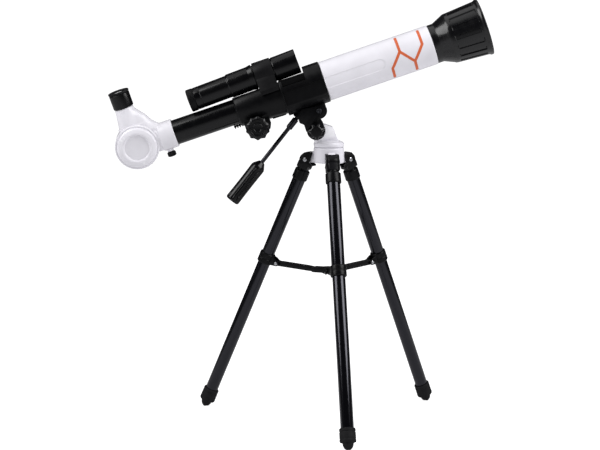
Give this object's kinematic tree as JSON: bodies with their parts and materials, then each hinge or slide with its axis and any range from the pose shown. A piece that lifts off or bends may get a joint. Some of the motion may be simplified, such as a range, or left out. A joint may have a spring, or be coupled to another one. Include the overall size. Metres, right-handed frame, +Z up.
{
  "type": "telescope on tripod",
  "caption": "Small refracting telescope with flared dew shield, star diagonal and finder, on a folding tabletop tripod with pan and tilt head.",
  "frame": {"origin": "on the table top, under the middle of the bounding box", "axes": "+Z up, +X towards the objective end of the telescope, +Y to its left"},
  "size_m": [0.3811, 0.2268, 0.4219],
  "materials": {
    "white_plastic": "satin white moulded plastic",
    "black_plastic": "satin black moulded plastic",
    "leg_tube": "semi-gloss black painted tube",
    "rubber": "matt black rubber",
    "steel": "bright plated steel",
    "glass": "coated optical glass",
    "mirror": "silvered mirror"
  },
  "bodies": {
    "tripod_crown": {"tripod_hub": "white_plastic", "pan_axle": "steel", "leg_pin_1": "steel", "leg_pin_2": "steel", "leg_pin_3": "steel"},
    "leg_1": {"leg_knuckle_1": "black_plastic", "leg_upper_tube_1": "leg_tube", "leg_collar_1": "black_plastic", "leg_lower_tube_1": "leg_tube", "leg_foot_1": "rubber", "spreader_pin_1": "steel"},
    "arm_1": {"spreader_arm_1": "black_plastic"},
    "leg_2": {"leg_knuckle_2": "black_plastic", "leg_upper_tube_2": "leg_tube", "leg_collar_2": "black_plastic", "leg_lower_tube_2": "leg_tube", "leg_foot_2": "rubber", "spreader_pin_2": "steel"},
    "arm_2": {"spreader_arm_2": "black_plastic"},
    "leg_3": {"leg_knuckle_3": "black_plastic", "leg_upper_tube_3": "leg_tube", "leg_collar_3": "black_plastic", "leg_lower_tube_3": "leg_tube", "leg_foot_3": "rubber", "spreader_pin_3": "steel"},
    "arm_3": {"spreader_arm_3": "black_plastic"},
    "spreader": {"spreader_hub": "black_plastic"},
    "turret": {"pan_turret": "white_plastic"},
    "telescope": {"tilt_head": "black_plastic", "mount_shoe": "black_plastic", "saddle_bolt": "steel", "tilt_bolt": "steel", "focuser_housing": "black_plastic", "main_tube": "white_plastic", "dew_shield": "black_plastic", "objective_lens": "glass", "lens_ring": "black_plastic", "finder_body": "black_plastic", "finder_objective": "glass", "finder_eye_lens": "glass", "finder_bracket": "black_plastic"},
    "knob": {"tilt_knob": "black_plastic"},
    "handle": {"handle_ferrule": "leg_tube", "handle_rod": "leg_tube", "handle_grip": "black_plastic"},
    "draw": {"drawtube": "black_plastic", "drawtube_rack": "black_plastic"},
    "focuser": {"focus_shaft": "steel", "focus_knob_far": "black_plastic", "focus_knob_near": "black_plastic"},
    "diagonal": {"diagonal_body": "white_plastic", "diagonal_mirror": "mirror", "diagonal_cap_far": "white_plastic", "diagonal_cap_near": "white_plastic"},
    "screw": {"thumb_screw": "black_plastic"},
    "eyepiece": {"eyepiece_body": "black_plastic", "eye_lens": "glass", "eyecup": "rubber"},
    "finder_focus": {"finder_eye_ring": "black_plastic"}
  },
  "joints": [
    {"name": "leg_1_fold", "type": "hinge", "parent": "tripod_crown", "child": "leg_1", "pos_m": [0.0309, 0.00292, 0.262], "axis": [0.9925, 0.1219, 0], "range_deg": [0, 12]},
    {"name": "arm_1_swing", "type": "hinge", "parent": "leg_1", "child": "arm_1", "pos_m": [0.03476, -0.02853, 0.15478], "axis": [0.9925, 0.1219, 0], "range_deg": [-72, 0.1]},
    {"name": "leg_2_fold", "type": "hinge", "parent": "tripod_crown", "child": "leg_2", "pos_m": [0.04647, 0.03959, 0.262], "axis": [-0.6018, 0.7986, 0], "range_deg": [-0.1, 12.1]},
    {"name": "arm_2_swing", "type": "hinge", "parent": "leg_2", "child": "arm_2", "pos_m": [0.07178, 0.05866, 0.15478], "axis": [-0.6018, 0.7986, 0], "range_deg": [-72, 0.1]},
    {"name": "leg_3_fold", "type": "hinge", "parent": "tripod_crown", "child": "leg_3", "pos_m": [0.00693, 0.03474, 0.262], "axis": [-0.3907, -0.9205, 0], "range_deg": [-0.1, 12.1]},
    {"name": "arm_3_swing", "type": "hinge", "parent": "leg_3", "child": "arm_3", "pos_m": [-0.02224, 0.04712, 0.15478], "axis": [-0.3907, -0.9205, 0], "range_deg": [-72, 0.1]},
    {"name": "spreader_drop", "type": "slide", "parent": "tripod_crown", "child": "spreader", "axis": [0, 0, -1], "range_m": [-0.0001, 0.038]},
    {"name": "pan", "type": "hinge", "parent": "tripod_crown", "child": "turret", "pos_m": [0.0281, 0.02575, 0.278], "axis": [0, 0, 1], "continuous": true},
    {"name": "tilt", "type": "hinge", "parent": "turret", "child": "telescope", "pos_m": [0.015, 0.02575, 0.2918], "axis": [0, -1, 0], "range_deg": [-35, 14]},
    {"name": "tilt_knob_turn", "type": "hinge", "parent": "telescope", "child": "knob", "pos_m": [0.015, 0.00775, 0.2918], "axis": [0, 1, 0], "range_deg": [0, 180]},
    {"name": "handle_twist", "type": "hinge", "parent": "telescope", "child": "handle", "pos_m": [-0.00084, 0.02575, 0.30778], "axis": [-0.6129, 0, -0.7902], "range_deg": [0, 180]},
    {"name": "draw_slide", "type": "slide", "parent": "telescope", "child": "draw", "axis": [-0.9444, 0, -0.3289], "range_m": [-0.017, 0.025]},
    {"name": "focus_turn", "type": "hinge", "parent": "telescope", "child": "focuser", "pos_m": [-0.04263, 0.02575, 0.29492], "axis": [0, 1, 0], "range_deg": [-260, 180]},
    {"name": "diagonal_turn", "type": "hinge", "parent": "draw", "child": "diagonal", "pos_m": [-0.13755, 0.02575, 0.2841], "axis": [0.9444, 0, 0.3289], "range_deg": [-90, 90]},
    {"name": "screw_turn", "type": "hinge", "parent": "diagonal", "child": "screw", "pos_m": [-0.12803, 0.02774, 0.26741], "axis": [-0.3271, -0.1045, 0.9392], "range_deg": [0, 180]},
    {"name": "eyepiece_pull", "type": "slide", "parent": "diagonal", "child": "eyepiece", "axis": [-0.3271, -0.1045, 0.9392], "range_m": [0, 0.02]},
    {"name": "finder_focus_turn", "type": "hinge", "parent": "telescope", "child": "finder_focus", "pos_m": [-0.10792, 0.02575, 0.32071], "axis": [0.9348, 0, 0.3551], "range_deg": [-90, 90]}
  ],
  "couplings": [
    {"joint": "leg_2_fold", "follows": "leg_1_fold", "ratio": 1},
    {"joint": "leg_3_fold", "follows": "leg_1_fold", "ratio": 1},
    {"joint": "arm_1_swing", "follows": "leg_1_fold", "ratio": -5.95},
    {"joint": "arm_2_swing", "follows": "leg_1_fold", "ratio": -5.95},
    {"joint": "arm_3_swing", "follows": "leg_1_fold", "ratio": -5.95},
    {"joint": "spreader_drop", "follows": "leg_1_fold", "m_per_rad": 0.1795},
    {"joint": "focus_turn", "follows": "draw_slide", "rad_per_m": -178.57}
  ]
}
